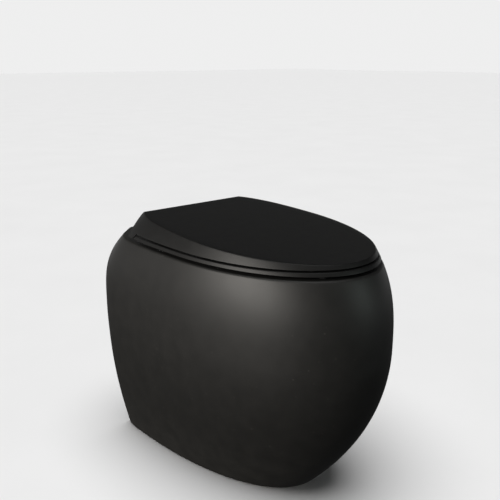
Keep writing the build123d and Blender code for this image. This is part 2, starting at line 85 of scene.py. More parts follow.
def eggPoint(s, z, inset=0.0):
    # s runs 0 to 1 along the flank from the back edge, and 1 to 2 round the nose to its tip:
    # two Bezier quarters that share an upright tangent at the widest point. Gives x and depth.
    z = np.asarray(z, float)
    width = growth(z, "width", "sideLow", "sideHigh") - inset
    front = growth(z, "front", "frontLow", "frontHigh") - inset
    back = growth(z, "back", "sideLow", "backHigh") - inset
    share = z / rimTop
    middle = egg["middleFoot"] + (egg["middleRim"] - egg["middleFoot"]) * share
    full = egg["fullFoot"] + (egg["fullRim"] - egg["fullFoot"]) * share
    f, n = np.clip(s, 0, 1), np.clip(s - 1, 0, 1)
    xFlank = cubic(back, back + egg["flankLean"] * (width - back), width, width, f)
    dFlank = cubic(0 * middle, egg["flankStart"] * middle, egg["flankEnd"] * middle, middle, f)
    xNose = cubic(width, width, full * width, 0 * width, n)
    dNose = cubic(middle, middle + full * (front - middle), front, front, n)
    return np.where(s < 1, xFlank, xNose), np.where(s < 1, dFlank, dNose)


def startAt(depth, z, inset=0.0):
    # The s where the outline at each height reaches a depth, by halving the interval.
    z = np.asarray(z, float)
    low, high = np.zeros_like(z + depth), np.full_like(z + depth, 1.5)
    for _ in range(36):  # the last interval is far under a micron
        mid = (low + high) / 2
        short = eggPoint(mid, z, inset)[1] < depth
        low, high = np.where(short, mid, low), np.where(short, high, mid)
    return low


def mirrored(x, depth, z):
    # A right half outline, back to nose, carried on round the left half; rows by columns by xyz.
    x, depth, z = np.broadcast_arrays(x, depth, z)
    right = np.stack([x, wallY - depth, z], -1)
    left = right[:, -2::-1] * [-1, 1, 1]
    return np.concatenate([right, left], 1)


def between(first, last, count):
    # Rows blended straight from one row of points to another.
    t = np.linspace(0, 1, count)[:, None, None]
    return first[None] * (1 - t) + last[None] * t


def closedBack(rows, count):
    # Joins the left end of each open row back to its right end by evenly spaced points.
    t = (np.arange(1, count + 1) / (count + 1))[None, :, None]
    ends = rows[:, -1:] * (1 - t) + rows[:, :1] * t
    return np.concatenate([rows, ends], 1)


def gridFaces(rows, cols, offset, closedCols, closedRows):
    # Four corners of every cell of a grid of points.
    r = np.arange(rows if closedRows else rows - 1)
    c = np.arange(cols if closedCols else cols - 1)
    r, c = np.meshgrid(r, c, indexing="ij")
    r2, c2 = (r + 1) % rows, (c + 1) % cols
    corners = [r * cols + c, r * cols + c2, r2 * cols + c2, r2 * cols + c]
    return np.stack([k.ravel() for k in corners], -1) + offset


mergeWithin, thinnest = 2e-6, 1e-7  # metres


def makePiece(name, grids, body, look, sharp=35.0, fill=False):
    # Several grids become one closed mesh: shared borders are merged and faces turned outwards.
    points, faces, offset = [], [], 0
    for grid, closedCols, closedRows in grids:
        rows, cols = grid.shape[:2]
        points.append(grid.reshape(-1, 3))
        faces.append(gridFaces(rows, cols, offset, closedCols, closedRows))
        offset += rows * cols
    mesh = bpy.data.meshes.new(name)
    mesh.from_pydata(np.concatenate(points), [], np.concatenate(faces).tolist())
    bm = bmesh.new()
    bm.from_mesh(mesh)
    bmesh.ops.remove_doubles(bm, verts=bm.verts, dist=mergeWithin)
    bmesh.ops.dissolve_degenerate(bm, dist=thinnest, edges=bm.edges)
    if fill:
        bmesh.ops.holes_fill(bm, edges=[e for e in bm.edges if e.is_boundary], sides=0)
    openEdges = sum(1 for e in bm.edges if not e.is_manifold)
    bmesh.ops.recalc_face_normals(bm, faces=bm.faces)
    bm.to_mesh(mesh)
    bm.free()
    mesh.shade_smooth()
    mesh.set_sharp_from_angle(angle=math.radians(sharp))
    piece = bpy.data.objects.new(name, mesh)
    bpy.context.scene.collection.objects.link(piece)
    mesh.materials.append(surfaces[look])
    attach(piece, body)
    print("piece", name, len(mesh.polygons), "faces, open edges", openEdges)
    return piece


def arc(count):
    # Sine and cosine of a quarter turn in even steps.
    a = np.linspace(0, math.pi / 2, count)
    return np.sin(a), np.cos(a)


grainSizes = {"fineness": 14.0, "cloudDetail": 4.0, "fineDetail": 3.0, "cells": 55.0,
              "speckEdge": 0.10, "speckHeart": 0.02, "soilTop": 0.12}


def grainGroup():
    # Cloud = soft noise at the given scale; Fine = the same noise, finer; Speck = 1 close to
    # scattered cell centres and 0 elsewhere; Low = 1 at the floor, falling to 0 at soilTop.
    group = bpy.data.node_groups.new("grain", "ShaderNodeTree")
    group.interface.new_socket("Scale", in_out="INPUT", socket_type="NodeSocketFloat")
    group.interface.new_socket("Stretch", in_out="INPUT", socket_type="NodeSocketVector")
    for name in ("Cloud", "Fine", "Speck", "Low"):
        group.interface.new_socket(name, in_out="OUTPUT", socket_type="NodeSocketFloat")
    nodes, link = group.nodes, group.links.new
    given, result = nodes.new("NodeGroupInput"), nodes.new("NodeGroupOutput")
    place = nodes.new("ShaderNodeTexCoord")
    stretch = nodes.new("ShaderNodeVectorMath")
    stretch.operation = "MULTIPLY"
    link(place.outputs["Object"], stretch.inputs[0])
    link(given.outputs["Stretch"], stretch.inputs[1])
    for name, factor, detail in (("Cloud", 1.0, grainSizes["cloudDetail"]),
                                 ("Fine", grainSizes["fineness"], grainSizes["fineDetail"])):
        noise = nodes.new("ShaderNodeTexNoise")
        scale = nodes.new("ShaderNodeMath")
        scale.operation = "MULTIPLY"
        scale.inputs[1].default_value = factor
        noise.inputs["Detail"].default_value = detail
        link(given.outputs["Scale"], scale.inputs[0])
        link(scale.outputs[0], noise.inputs["Scale"])
        link(stretch.outputs[0], noise.inputs["Vector"])
        link(noise.outputs["Fac"], result.inputs[name])
    cells = nodes.new("ShaderNodeTexVoronoi")
    cells.inputs["Scale"].default_value = grainSizes["cells"]
    near = nodes.new("ShaderNodeMapRange")
    near.inputs["From Min"].default_value = grainSizes["speckEdge"]
    near.inputs["From Max"].default_value = grainSizes["speckHeart"]
    link(place.outputs["Object"], cells.inputs["Vector"])
    link(cells.outputs["Distance"], near.inputs["Value"])
    link(near.outputs["Result"], result.inputs["Speck"])
    split = nodes.new("ShaderNodeSeparateXYZ")
    low = nodes.new("ShaderNodeMapRange")
    low.inputs["From Min"].default_value = grainSizes["soilTop"]
    low.inputs["From Max"].default_value = 0.0
    link(place.outputs["Object"], split.inputs["Vector"])
    link(split.outputs["Z"], low.inputs["Value"])
    link(low.outputs["Result"], result.inputs["Low"])
    return group


grain = grainGroup()


def surface(name, look):
    # Colour = dark to light by Cloud, then towards dust by Speck and by Low times Cloud.
    # Roughness = rough + spread x (Cloud - 0.5) + fineSpread x (Fine - 0.5) + speckRough x Speck.
    # Height = peel x Cloud + tooth x Fine, as a bump.
    material = bpy.data.materials.new(name)
    material.use_nodes = True
    nodes, link = material.node_tree.nodes, material.node_tree.links.new
    shader = nodes["Principled BSDF"]
    shader.inputs["Metallic"].default_value = look.get("metal", 0.0)
    shader.inputs["IOR"].default_value = look.get("ior", 1.5)
    shader.inputs["Specular IOR Level"].default_value = look.get("specular", 0.5)
    shader.inputs["Coat Weight"].default_value = look.get("coat", 0.0)
    shader.inputs["Coat Roughness"].default_value = look.get("coatRough", 0.2)
    shader.inputs["Anisotropic"].default_value = look.get("brushed", 0.0)
    grains = nodes.new("ShaderNodeGroup")
    grains.node_tree = grain
    grains.inputs["Scale"].default_value = look["scale"]
    grains.inputs["Stretch"].default_value = look.get("stretch", (1, 1, 1))
    cloud, fine, speck, low = (grains.outputs[k] for k in ("Cloud", "Fine", "Speck", "Low"))

    def mixed(factor, first, second):
        # first x (1 - factor) + second x factor.
        mix = nodes.new("ShaderNodeMix")
        mix.data_type = "RGBA"
        link(factor, mix.inputs["Factor"])
        for socket, value in ((mix.inputs["A"], first), (mix.inputs["B"], second)):
            if isinstance(value, tuple):
                socket.default_value = (*value, 1)
            else:
                link(value, socket)
        return mix.outputs["Result"]

    def times(value, factor, plus=None):
        # value x factor + plus.
        node = nodes.new("ShaderNodeMath")
        node.operation = "MULTIPLY_ADD"
        link(value, node.inputs[0])
        node.inputs[1].default_value = factor
        if plus is None or isinstance(plus, float):
            node.inputs[2].default_value = plus or 0.0
        else:
            link(plus, node.inputs[2])
        return node.outputs[0]

    dust = look.get("dust", look["light"])
    colour = mixed(cloud, look["dark"], look["light"])
    colour = mixed(times(speck, look.get("speck", 0.0)), colour, dust)
    soil = nodes.new("ShaderNodeMath")
    soil.operation = "MULTIPLY"
    link(low, soil.inputs[0])
    link(cloud, soil.inputs[1])
    colour = mixed(times(soil.outputs[0], look.get("soil", 0.0)), colour, dust)
    link(colour, shader.inputs["Base Color"])
    middle = look["rough"] - look["spread"] / 2 - look.get("fineSpread", 0.0) / 2
    rough = times(cloud, look["spread"], times(fine, look.get("fineSpread", 0.0), middle))
    rough = times(speck, look.get("speckRough", 0.0), rough)
    link(rough, shader.inputs["Roughness"])
    bump = nodes.new("ShaderNodeBump")
    bump.inputs["Distance"].default_value = look["deep"]
    bump.inputs["Strength"].default_value = look.get("strength", 0.35)
    link(times(cloud, look["peel"], times(fine, look["tooth"])), bump.inputs["Height"])
    link(bump.outputs["Normal"], shader.inputs["Normal"])
    return material


# Colours are linear; rough, spread and the rest are named in the formulas of surface().
blackPlastic = {"ior": 1.38, "specular": 0.12, "dark": (0.0016, 0.0016, 0.0016), "light": (0.0027, 0.0027, 0.0027),
                "dust": (0.09, 0.088, 0.08), "rough": 0.45, "spread": 0.05, "fineSpread": 0.05,
                "speck": 0.03, "speckRough": 0.1, "scale": 60.0, "peel": 0.4, "tooth": 0.6,
                "deep": 0.0004, "strength": 0.15}
looks = {
    "black_glaze": {"ior": 1.38, "specular": 0.20, "dark": (0.0018, 0.0018, 0.0017), "light": (0.0032, 0.0031, 0.0029),
                    "dust": (0.10, 0.095, 0.085), "rough": 0.50, "spread": 0.06, "fineSpread": 0.05,
                    "speck": 0.04, "speckRough": 0.12, "soil": 0.03, "scale": 38.0, "peel": 0.7, "tooth": 0.3,
                    "deep": 0.0006, "strength": 0.18},
    "black_seat": blackPlastic,
    "black_lid": blackPlastic,
    # buffer_rubber: the buffers are black rubber, but this colour is painted darker still, about a tenth of the seal
    # rubber's, as painted shade so the buffers in the gaps between pan, seat and lid read as the shade there.
    "buffer_rubber": {"specular": 0.03, "dark": (0.0025, 0.0025, 0.0026), "light": (0.005, 0.005, 0.0053),
                      "dust": (0.02, 0.019, 0.018), "rough": 0.85, "spread": 0.12, "fineSpread": 0.08,
                      "speck": 0.10, "scale": 120.0, "peel": 0.5, "tooth": 0.5, "deep": 0.0004},
    "seal_rubber": {"dark": (0.018, 0.018, 0.019), "light": (0.034, 0.034, 0.036), "dust": (0.14, 0.13, 0.12),
                    "rough": 0.68, "spread": 0.14, "fineSpread": 0.08, "speck": 0.12,
                    "scale": 90.0, "peel": 0.5, "tooth": 0.5, "deep": 0.0004},
    "white_plastic": {"dark": (0.70, 0.70, 0.67), "light": (0.80, 0.80, 0.78), "dust": (0.46, 0.43, 0.37),
                      "rough": 0.40, "spread": 0.12, "fineSpread": 0.06, "speck": 0.10, "speckRough": 0.1,
                      "scale": 70.0, "peel": 0.4, "tooth": 0.6, "deep": 0.0003},
    "grey_plastic": {"dark": (0.20, 0.205, 0.21), "light": (0.27, 0.275, 0.28), "dust": (0.40, 0.38, 0.34),
                     "rough": 0.46, "spread": 0.12, "fineSpread": 0.08, "speck": 0.10, "speckRough": 0.1,
                     "soil": 0.12, "scale": 80.0, "peel": 0.4, "tooth": 0.6, "deep": 0.0004},
    "damper_plastic": {"dark": (0.060, 0.062, 0.066), "light": (0.095, 0.097, 0.102), "dust": (0.24, 0.23, 0.21),
                       "rough": 0.42, "spread": 0.12, "fineSpread": 0.08, "speck": 0.08, "speckRough": 0.1,
                       "scale": 90.0, "peel": 0.4, "tooth": 0.6, "deep": 0.0003},
    "satin_steel": {"metal": 1.0, "dark": (0.50, 0.49, 0.475), "light": (0.62, 0.61, 0.595), "dust": (0.36, 0.33, 0.29),
                    "rough": 0.32, "spread": 0.14, "fineSpread": 0.12, "speck": 0.10, "speckRough": 0.2,
                    "brushed": 0.4, "scale": 45.0, "stretch": (1, 1, 9), "peel": 0.2, "tooth": 0.8, "deep": 0.0002},
    "chrome_trim": {"metal": 1.0, "dark": (0.78, 0.78, 0.79), "light": (0.86, 0.86, 0.87), "dust": (0.50, 0.49, 0.47),
                    "rough": 0.10, "spread": 0.07, "fineSpread": 0.04, "speck": 0.10, "speckRough": 0.25,
                    "scale": 55.0, "peel": 0.6, "tooth": 0.4, "deep": 0.0001, "strength": 0.2},
    "zinc_steel": {"metal": 1.0, "dark": (0.42, 0.43, 0.44), "light": (0.60, 0.61, 0.61), "dust": (0.34, 0.31, 0.27),
                   "rough": 0.42, "spread": 0.22, "fineSpread": 0.12, "speck": 0.22, "speckRough": 0.25,
                   "soil": 0.2, "scale": 60.0, "peel": 0.5, "tooth": 0.5, "deep": 0.0003},
}
surfaces = {name: surface(name + "_look", look) for name, look in looks.items()}
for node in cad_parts.values():
    for held in node.material_slots:
        held.material = surfaces[held.material.name.split(".")[0]]
print("surfaces done")

# A closed outline runs up the right flank, round the nose, down the left flank and back across the rear.
flankCount, noseCount, backCount = 34, 56, 31
along = np.concatenate([np.linspace(0, 1, flankCount)[:-1], np.linspace(1, 2, noseCount)])
backSweep = np.linspace(-1, 1, backCount + 2)[1:-1]
alongRear = 0.5  # where the ovals' columns leave the rear and start along the side
ovalHandle = 0.56


def eggLoop(depth, z, inset, closed=True):
    # A whole outline at one height and inset, its right half starting at a depth from the wall.
    start = startAt(depth, z, inset) if depth > 0 else 0.0
    s = np.where(along < 1, start + (1 - start) * along, along) if start < 1 else along
    x, d = eggPoint(s[None], z, inset)
    loop = mirrored(x, d, np.full_like(x, z))
    return closedBack(loop, backCount) if closed else loop


def ovalLoop(z, halfWidth, rear, middle, front):
    # Four Bezier quarters with their handles at one share of each half size, in the same column order.
    u = np.where(along < 1, alongRear + (1 - alongRear) * along, along)
    back = alongRear * np.abs(backSweep)
    side = np.concatenate([np.ones(len(u)), -np.ones(len(u) - 1), np.sign(backSweep)])
    u = np.concatenate([u, u[-2::-1], back])
    f, n, k = np.clip(u, 0, 1), np.clip(u - 1, 0, 1), ovalHandle
    xRear = cubic(0, k * halfWidth, halfWidth, halfWidth, f)
    dRear = cubic(rear, rear, middle - k * (middle - rear), middle, f)
    xFront = cubic(halfWidth, halfWidth, k * halfWidth, 0, n)
    dFront = cubic(middle, middle + k * (front - middle), front, front, n)
    x, d = side * np.where(u < 1, xRear, xFront), np.where(u < 1, dRear, dFront)
    return np.stack([x, wallY - d, np.full_like(x, z)], -1)[None], side * u


def stacked(loops):
    # Rows of points, one set after another, as one grid.
    return np.concatenate(loops)


pan = {"wall": 0.013, "deck": 0.014, "rimRound": 0.003, "footRound": 0.002,
       "bowlWall": 0.010, "bowlRound": 0.005, "bowlEnd": 0.150, "shellEnd": 0.158,
       "bowlWidth": 0.125, "bowlRear": 0.172, "bowlMiddle": 0.300, "bowlFront": 0.482,
       "levels": (0.2275, 0.44, 0.60, 0.78, 0.93, 1.0),  # shares of the rim's height
       "sideShares": (1, 0.76, 0.50, 0.20, 0.03, 0), "rearShares": (1, 0.86, 0.60, 0.24, 0.03, 0),
       "frontShares": (1, 0.76, 0.48, 0.20, 0.03, 0),
       "sump": 0.335, "sumpHeight": 0.120, "sumpShare": 0.7, "trap": 0.040, "trapStart": 0.012,
       "dip": 0.262, "dipDrop": 0.05, "crown": 0.190, "crownRise": 0.1, "fall": 0.105,
       "bends": (0.058, 0.054, 0.066), "outletHeight": 0.183, "outlet": 0.051,
       "outletNear": 0.018, "outletFar": 0.073, "inletHeight": 0.340, "inlet": 0.0275, "inletWall": 0.010}
panRows = {"outside": 110, "inside": 40, "foot": 3, "deck": 14, "deckUnder": 8, "bowl": 44, "shell": 22,
           "blend": 12, "bend": 18, "trap": 56}


def panOuter():
    # Straight up the egg law, with a quarter round at the foot and one at the rim.
    sine, cosine = arc(7)
    foot, rim = pan["footRound"], pan["rimRound"]
    flank = np.linspace(foot, rimTop - rim, panRows["outside"])[1:-1]
    heights = np.concatenate([foot * (1 - cosine), flank, rimTop - rim + rim * sine])
    insets = np.concatenate([foot * (1 - sine), 0 * flank, rim * (1 - cosine)])
    return stacked([eggLoop(0, z, i, closed=False) for z, i in zip(heights, insets)])


def bowlShares(z):
    # How far the bowl has narrowed, by height: Hermite cubics through the levels, 1 = as small as the sump.
    levels = rimTop * np.array(pan["levels"])
    shares = np.stack([pan["sideShares"], pan["rearShares"], pan["frontShares"]], -1).astype(float)
    slopes = np.gradient(shares, levels, axis=0)
    i = int(np.clip(np.searchsorted(levels, z) - 1, 0, len(levels) - 2))
    h = levels[i + 1] - levels[i]
    t = np.clip((z - levels[i]) / h, 0, 1)
    return hermite(shares[i], h * slopes[i], shares[i + 1], h * slopes[i + 1], t)


def bowlLoop(z, grow):
    # The oval at one height: each size goes from the rim's to the sump's by its share, then grows outwards.
    sideShare, rearShare, frontShare = bowlShares(z)
    small = pan["trap"] * pan["sumpShare"]
    return ovalLoop(z, pan["bowlWidth"] + (small - pan["bowlWidth"]) * sideShare + grow,
                    pan["bowlRear"] + (pan["sump"] - small - pan["bowlRear"]) * rearShare - grow,
                    pan["bowlMiddle"] + (pan["sump"] - pan["bowlMiddle"]) * rearShare,
                    pan["bowlFront"] + (pan["sump"] + small - pan["bowlFront"]) * frontShare + grow)


def trapRoute():
    # Straight runs joined by arcs that touch both of them; gives points and directions in depth and height.
    corners = np.array([[pan["sump"], pan["sumpHeight"]], [pan["dip"], pan["sumpHeight"] - pan["dipDrop"]],
                        [pan["crown"], pan["outletHeight"] + pan["crownRise"]],
                        [pan["fall"], pan["outletHeight"]], [pan["outletFar"], pan["outletHeight"]]])
    points, last = [corners[0]], corners[0]
    for before, corner, after, radius in zip(corners, corners[1:], corners[2:], pan["bends"]):
        a = (before - corner) / np.linalg.norm(before - corner)
        b = (after - corner) / np.linalg.norm(after - corner)
        half = math.acos(float(np.clip(a @ b, -1, 1))) / 2
        reach = min(radius / math.tan(half), 0.98 * np.linalg.norm(corner - last))  # bends never meet
        bisector = (a + b) / np.linalg.norm(a + b)
        radius = reach * math.tan(half)
        centre = corner + bisector * radius / math.sin(half)
        start, end = corner + a * reach - centre, corner + b * reach - centre
        turn = math.atan2(start[0] * end[1] - start[1] * end[0], float(start @ end))
        t = np.linspace(0, turn, panRows["bend"])
        points += list(centre + np.stack([start[0] * np.cos(t) - start[1] * np.sin(t),
                                          start[0] * np.sin(t) + start[1] * np.cos(t)], -1))
        last = corner + b * reach
    points = np.array(points + [corners[-1]])
    length = np.concatenate([[0], np.cumsum(np.linalg.norm(np.diff(points, axis=0), axis=1))])
    even = np.linspace(pan["trapStart"], length[-1], panRows["trap"])
    points = np.stack([np.interp(even, length, points[:, k]) for k in (0, 1)], -1)
    ahead = np.gradient(points, axis=0)
    return points, ahead / np.linalg.norm(ahead, axis=1, keepdims=True)


def trapRings(turns, grow):
    # Round sections square to the route, in the same column order as the bowl's.
    points, ahead = trapRoute()
    radius = pan["trap"] + grow
    swing = turns[None] * math.pi / 2
    across = np.stack([ahead[:, 1], -ahead[:, 0]], -1)
    reach = radius * np.cos(swing)
    x = radius * np.sin(swing) + 0 * reach
    return np.stack([np.broadcast_to(x, (len(points), len(turns))),
                     wallY - points[:, :1] - across[:, :1] * reach, points[:, 1:] + across[:, 1:] * reach], -1)


def bowlAndTrap(heights, grow):
    # Bowl rows, a Hermite blend into the first trap ring, and the trap itself.
    turns = bowlLoop(heights[0], grow)[1]
    bowl = stacked([bowlLoop(z, grow)[0] for z in heights])
    rings = trapRings(turns, grow)
    t = np.linspace(0, 1, panRows["blend"])[1:-1, None, None]
    first, last = bowl[-1], rings[0]
    gap = np.linalg.norm(first - last, axis=-1, keepdims=True)
    out, into = bowl[-1] - bowl[-2], rings[1] - rings[0]
    out = out / np.linalg.norm(out, axis=-1, keepdims=True) * gap
    into = into / np.linalg.norm(into, axis=-1, keepdims=True).clip(1e-6) * gap
    return bowl, hermite(first, out, last, into, t), rings


def panSkin():
    # Outside, foot edge, inside of the wall, deck, bowl with its trap, spigot, and the bowl's back.
    outer = panOuter()
    deckUnder = rimTop - pan["deck"]
    innerHeights = np.linspace(0, deckUnder, panRows["inside"])
    inner = stacked([eggLoop(0, z, pan["wall"], closed=False) for z in innerHeights])
    sine, cosine = arc(6)
    r = pan["bowlRound"]
    # The bowl's top edge: a quarter round that starts flat on the deck.
    lip = stacked([ovalLoop(rimTop - r + r * c, pan["bowlWidth"] + r * (1 - s), pan["bowlRear"] - r * (1 - s),
                            pan["bowlMiddle"], pan["bowlFront"] + r * (1 - s))[0] for s, c in zip(sine, cosine)])
    bowl, blend, rings = bowlAndTrap(np.linspace(rimTop - r, pan["bowlEnd"], panRows["bowl"]), 0.0)
    lip[-1] = bowl[0]
    shellHeights = np.linspace(deckUnder, pan["shellEnd"], panRows["shell"])
    shell, shellBlend, shellRings = bowlAndTrap(shellHeights, pan["bowlWall"])
    end = rings[-1:].copy()
    end[..., 1] = wallY - pan["outletNear"]
    spigot = shellRings[-1:].copy()
    centre = np.array([0, 0, pan["outletHeight"]])
    wider = pan["outlet"] / (pan["trap"] + pan["bowlWall"])
    spigot = (spigot - centre) * [wider, 1, wider] + centre
    spigotEnd = spigot.copy()
    spigotEnd[..., 1] = wallY - pan["outletNear"]
    return makePiece("panSkin", [
        (outer, False, False),
        (between(outer[0], inner[0], panRows["foot"]), False, False),
        (inner, False, False),
        (between(closedBack(outer[-1:], backCount)[0], lip[0], panRows["deck"]), True, False),
        (lip, True, False),
        (stacked([bowl, blend, rings, end]), True, False),
        (stacked([end, spigotEnd]), True, False),
        (stacked([spigotEnd, spigot, shellRings[-1:]]), True, False),
        (stacked([shell, shellBlend, shellRings]), True, False),
        (between(closedBack(inner[-1:], backCount)[0], shell[0], panRows["deckUnder"]), True, False),
    ], "pan_body", "black_glaze", fill=True)


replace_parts(panSkin(), "pan")


def lathe(name, outline, centre, body, look):
    # Depth and radius pairs turned about a line square to the wall.
    turn = np.linspace(0, 2 * math.pi, 97)[:-1]
    d, r = (np.array(v)[:, None] for v in zip(*outline))
    grid = np.stack([centre[0] + r * np.sin(turn), wallY - d + 0 * turn, centre[1] + r * np.cos(turn)], -1)
    return makePiece(name, [(grid, True, True)], body, look)


horn = {"near": 0.014, "far": 0.195, "edge": 0.0015, "bore": pan["inlet"], "outer": pan["inlet"] + pan["inletWall"]}
hornOutline = [(horn["near"] + horn["edge"], horn["bore"]), (horn["near"], horn["bore"] + horn["edge"]),
               (horn["near"], horn["outer"] - horn["edge"]), (horn["near"] + horn["edge"], horn["outer"]),
               (horn["far"], horn["outer"]), (horn["far"], horn["bore"])]
lathe("inletHorn", hornOutline, (0, pan["inletHeight"]), "pan_body", "black_glaze")

lug = {"face": 0.086, "near": 0.134, "far": 0.186, "low": 0.014, "high": 0.076, "into": 0.0065}


def fixingLug(name, side):
    # A plain block from its inner face to halfway into the pan's wall, where it meets the egg's flank.
    corners = []
    for z in (lug["low"], lug["high"]):
        for depth in (lug["near"], lug["far"]):
            s = startAt(depth, z)
            outside = float(eggPoint(s, z)[0]) - lug["into"]
            corners.append([(lug["face"], depth, z), (outside, depth, z)])
    (a, b), (c, d), (e, f), (g, h) = corners
    grid = np.array([[a, c, g, e], [b, d, h, f]])
    grid = np.stack([side * grid[..., 0], wallY - grid[..., 1], grid[..., 2]], -1)
    return makePiece(name, [(grid, True, False)], "pan_body", "black_glaze", fill=True)


fixingLug("lugLeft", -1)
fixingLug("lugRight", 1)

hinge = {"depth": 0.093, "height": 0.448, "knuckle": 0.011, "bore": 0.00802, "edge": 0.0006}
seat = {"edgeLow": 0.4279, "top": 0.4341, "under": 0.4250, "stepIn": 0.012, "bodyRear": 0.116, "arc": 0.0240,
        "round": 0.0008, "holeRound": 0.003,
        "holeWidth": 0.106, "holeRear": 0.208, "holeMiddle": 0.300, "holeFront": 0.468}


def seatRear(z):
    # The seat's end is hollowed round the hinge: the depth where a circle about the axis is met.
    return hinge["depth"] + math.sqrt(seat["arc"] ** 2 - (hinge["height"] - z) ** 2)


def seatSkin():
    # Outer edge, top, hole and underside with its step, as rows of one ring that closes on itself.
    sine, cosine = arc(5)
    r, h = seat["round"], seat["holeRound"]
    low, top, under = seat["edgeLow"], seat["top"], seat["under"]

    def hole(z, grow):
        # The oval hole at one height, opened outwards by grow.
        return ovalLoop(z, seat["holeWidth"] + grow, seat["holeRear"] - grow,
                        seat["holeMiddle"], seat["holeFront"] + grow)[0]

    edge = [eggLoop(seatRear(low + r * (1 - c)), low + r * (1 - c), r * (1 - s)) for s, c in zip(sine, cosine)]
    edge += [eggLoop(seatRear(z), z, 0) for z in np.linspace(low + r, top - r, 5)[1:]]
    edge += [eggLoop(seatRear(top - r + r * s), top - r + r * s, r * (1 - c)) for s, c in zip(sine[1:], cosine[1:])]
    holeTop = [hole(top - h + h * c, h * (1 - s)) for s, c in zip(sine, cosine)]
    holeLow = [hole(under + h - h * s, h * (1 - c)) for s, c in zip(sine, cosine)]
    across = between(edge[-1][0], holeTop[0][0], 12)[1:-1]
    step = [eggLoop(seat["bodyRear"], under, seat["stepIn"] + r),
            eggLoop(seat["bodyRear"], under + r, seat["stepIn"]),
            eggLoop(seat["bodyRear"], low, seat["stepIn"])]
    below = between(holeLow[-1][0], step[0][0], 10)[1:-1]
    bore = between(holeTop[-1][0], holeLow[0][0], 4)[1:-1]
    ring = stacked(edge + [across] + holeTop + [bore] + holeLow + [below] + step)
    return makePiece("seatSkin", [(ring, True, True)], "seat", "black_seat", sharp=40)


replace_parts(seatSkin(), "seat_ring")


def plate(name, ends, corners, body, look):
    # A knuckle plate: at each direction from the pivot, the further of a circle and the straight sides,
    # bored for the bush, with small edge bevels.
    turn = np.linspace(0, 2 * math.pi, 145)[:-1]
    ray = np.stack([np.cos(turn), np.sin(turn)], -1)
    reach = np.full(len(turn), hinge["knuckle"])
    centre = np.array([hinge["depth"], hinge["height"]])
    for p, q in zip(corners, corners[1:] + corners[:1]):
        p, q = np.array(p) - centre, np.array(q) - centre
        side = q - p
        bottom = ray[:, 0] * side[1] - ray[:, 1] * side[0]
        bottom = np.where(np.abs(bottom) < 1e-9, 1e-9, bottom)  # a direction along the side
        far = (p[0] * side[1] - p[1] * side[0]) / bottom
        share = (p[0] * ray[:, 1] - p[1] * ray[:, 0]) / bottom
        reach = np.where((far > reach) & (share >= 0) & (share <= 1), far, reach)
    rows, b = [], hinge["edge"]
    for x, r in ((ends[0], reach - b), (ends[0] + b, reach), (ends[1] - b, reach), (ends[1], reach - b),
                 (ends[1], 0 * reach + hinge["bore"]), (ends[0], 0 * reach + hinge["bore"])):
        flat = centre + ray * r[:, None]
        rows.append(np.stack([np.full(len(turn), x), wallY - flat[:, 0], flat[:, 1]], -1))
    return makePiece(name, [(np.array(rows), True, True)], body, look)


seatEye = {"near": 0.0424, "far": 0.0624,  # from the middle, then depth and height of each corner
           "corners": [(0.098, 0.457), (0.137, 0.4336), (0.137, 0.427), (0.115, 0.427), (0.093, 0.437)]}
plate("seatEyeLeft", (-seatEye["far"], -seatEye["near"]), seatEye["corners"], "seat", "black_seat")
plate("seatEyeRight", (seatEye["near"], seatEye["far"]), seatEye["corners"], "seat", "black_seat")

lid = {"wall": 0.004, "back": 0.082, "topAtWall": 0.476, "fall": 0.063, "corner": 0.004,
       "skirt": 0.0213, "low": 0.4279, "bottom": 0.4371, "middle": 0.45,
       "round": 0.0010, "ceiling": 0.0044, "lowRound": 0.0007}


def lidLow(depth):
    # The band's lower edge: level over the seat, then round the hinge's circle down behind it.
    turn = np.sqrt(np.clip(lid["skirt"] ** 2 - (depth - hinge["depth"]) ** 2, 0, None))
    return np.clip(hinge["height"] - turn, lid["low"], lid["bottom"])


def lidTop(depth):
    # The top is one plane that falls to the front, turned down by a quarter round at its rear edge.
    plane = lid["topAtWall"] - lid["fall"] * depth
    behind = np.clip(lid["back"] + lid["corner"] - depth, 0, lid["corner"])
    return plane - lid["corner"] + np.sqrt(lid["corner"] ** 2 - behind ** 2)


skirtEnd = 0.35  # the columns are closest over this share of the flank, where the skirt turns down
lidAlong = np.concatenate([np.linspace(0, skirtEnd, 44)[:-1], np.linspace(skirtEnd, 1, 26)[:-1], np.linspace(1, 2, 66)])
lidRows = {"band": 14, "inside": 8, "top": 26, "rim": 3}


def lidRow(share, inset, lift, drop):
    # One row of the band: at a share of the way from its lower edge plus lift to the top plane less drop.
    # Height and depth depend on each other on the egg, so both are worked out again until they settle.
    first = float(startAt(lid["back"], lid["middle"], inset))
    s = np.where(lidAlong < 1, first + (1 - first) * lidAlong, lidAlong)
    z = np.full(len(s), lid["middle"])
    for _ in range(12):
        x, d = eggPoint(s, z, inset)
        first = startAt(lid["back"], z[0], inset)
        s = np.where(lidAlong < 1, first + (1 - first) * lidAlong, lidAlong)
        z = (lidLow(d) + lift) * (1 - share) + (lidTop(d) - drop) * share
    x, d = eggPoint(s, z, inset)
    return mirrored(x[None], d[None], z[None])


